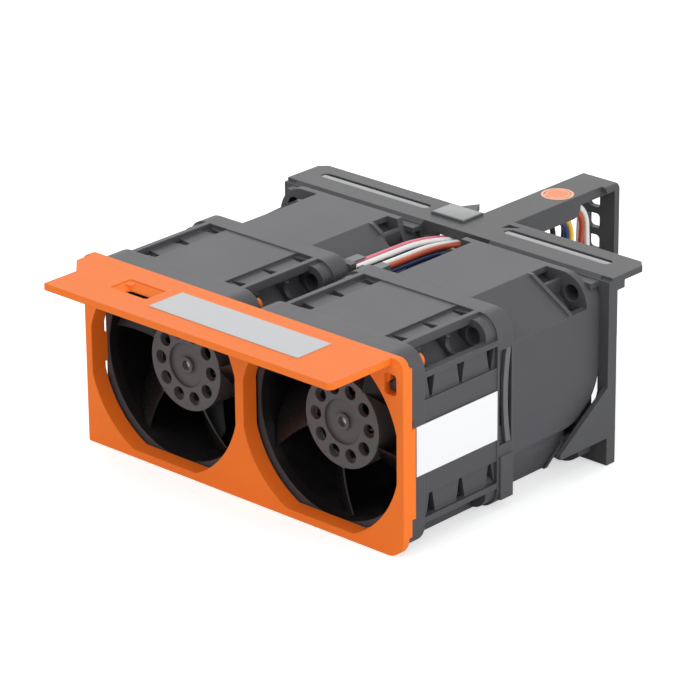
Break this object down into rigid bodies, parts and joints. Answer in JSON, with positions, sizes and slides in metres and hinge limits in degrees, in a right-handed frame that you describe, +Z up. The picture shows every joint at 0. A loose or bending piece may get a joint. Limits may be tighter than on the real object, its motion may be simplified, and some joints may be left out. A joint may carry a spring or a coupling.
{
  "type": "server fan module",
  "caption": "Hot-swap server cooling module: contra-rotating axial fans side by side in a carrier, with a coloured finger-shelf handle, wiring arm and blind-mate connector.",
  "frame": {"origin": "under the middle of the whole module, on the plane it stands on", "axes": "+X across the module, to the right as seen from the handle; +Y from the handle to the wiring arm; +Z up"},
  "size_m": [0.0864, 0.1182, 0.0404],
  "materials": {
    "orange_plastic": "moulded, fine matt texture",
    "grey_plastic": "glass-filled moulding, satin grey-black",
    "black_plastic": "moulded carrier, satin black-grey",
    "connector_black": "moulded connector shell",
    "rotor_plastic": "moulded impeller, dark grey",
    "label_white": "blank printed-film label",
    "touch_orange": "coloured touch disc",
    "clip_grey": "moulded clip",
    "steel": "ground steel",
    "bearing_steel": "polished",
    "yoke_steel": "pressed steel",
    "magnet_black": "bonded ferrite ring",
    "core_steel": "stacked laminations",
    "copper": "enamelled copper wire",
    "board_green": "circuit board",
    "contact_brass": "plated contacts",
    "wire_blue": "insulation",
    "wire_yellow": "insulation",
    "wire_red": "insulation",
    "wire_white": "insulation",
    "wire_black": "insulation",
    "wire_pink": "insulation"
  },
  "bodies": {
    "housing": {"front_handle": "orange_plastic", "handle_label": "label_white", "fan_label": "label_white", "rear_carrier": "black_plastic", "wiring_arm": "black_plastic", "touch_point": "touch_orange", "connector_housing": "connector_black", "connector_contacts": "contact_brass", "wire_clip": "clip_grey", "left_front_frame": "grey_plastic", "left_rear_frame": "grey_plastic", "left_stage_clips": "clip_grey", "left_front_bearings": "bearing_steel", "left_front_core": "core_steel", "left_front_windings": "copper", "left_front_board": "board_green", "left_rear_bearings": "bearing_steel", "left_rear_core": "core_steel", "left_rear_windings": "copper", "left_rear_board": "board_green", "right_front_frame": "grey_plastic", "right_rear_frame": "grey_plastic", "right_stage_clips": "clip_grey", "right_front_bearings": "bearing_steel", "right_front_core": "core_steel", "right_front_windings": "copper", "right_front_board": "board_green", "right_rear_bearings": "bearing_steel", "right_rear_core": "core_steel", "right_rear_windings": "copper", "right_rear_board": "board_green", "left_lead_1": "wire_blue", "left_lead_2": "wire_black", "left_lead_3": "wire_white", "left_lead_4": "wire_pink", "right_lead_1": "wire_yellow", "right_lead_2": "wire_blue", "right_lead_3": "wire_white", "right_lead_4": "wire_red"},
    "left_front_rotor": {"left_front_impeller": "rotor_plastic", "left_front_yoke": "yoke_steel", "left_front_magnet": "magnet_black", "left_front_shaft": "steel"},
    "left_rear_rotor": {"left_rear_impeller": "rotor_plastic", "left_rear_yoke": "yoke_steel", "left_rear_magnet": "magnet_black", "left_rear_shaft": "steel"},
    "right_front_rotor": {"right_front_impeller": "rotor_plastic", "right_front_yoke": "yoke_steel", "right_front_magnet": "magnet_black", "right_front_shaft": "steel"},
    "right_rear_rotor": {"right_rear_impeller": "rotor_plastic", "right_rear_yoke": "yoke_steel", "right_rear_magnet": "magnet_black", "right_rear_shaft": "steel"}
  },
  "joints": [
    {"name": "left_front_spin", "type": "hinge", "parent": "housing", "child": "left_front_rotor", "pos_m": [-0.0208, -0.026, 0.02], "axis": [0, -1, 0], "continuous": true},
    {"name": "left_rear_spin", "type": "hinge", "parent": "housing", "child": "left_rear_rotor", "pos_m": [-0.0208, 0.0023, 0.02], "axis": [0, 1, 0], "continuous": true},
    {"name": "right_front_spin", "type": "hinge", "parent": "housing", "child": "right_front_rotor", "pos_m": [0.0208, -0.026, 0.02], "axis": [0, -1, 0], "continuous": true},
    {"name": "right_rear_spin", "type": "hinge", "parent": "housing", "child": "right_rear_rotor", "pos_m": [0.0208, 0.0023, 0.02], "axis": [0, 1, 0], "continuous": true}
  ]
}
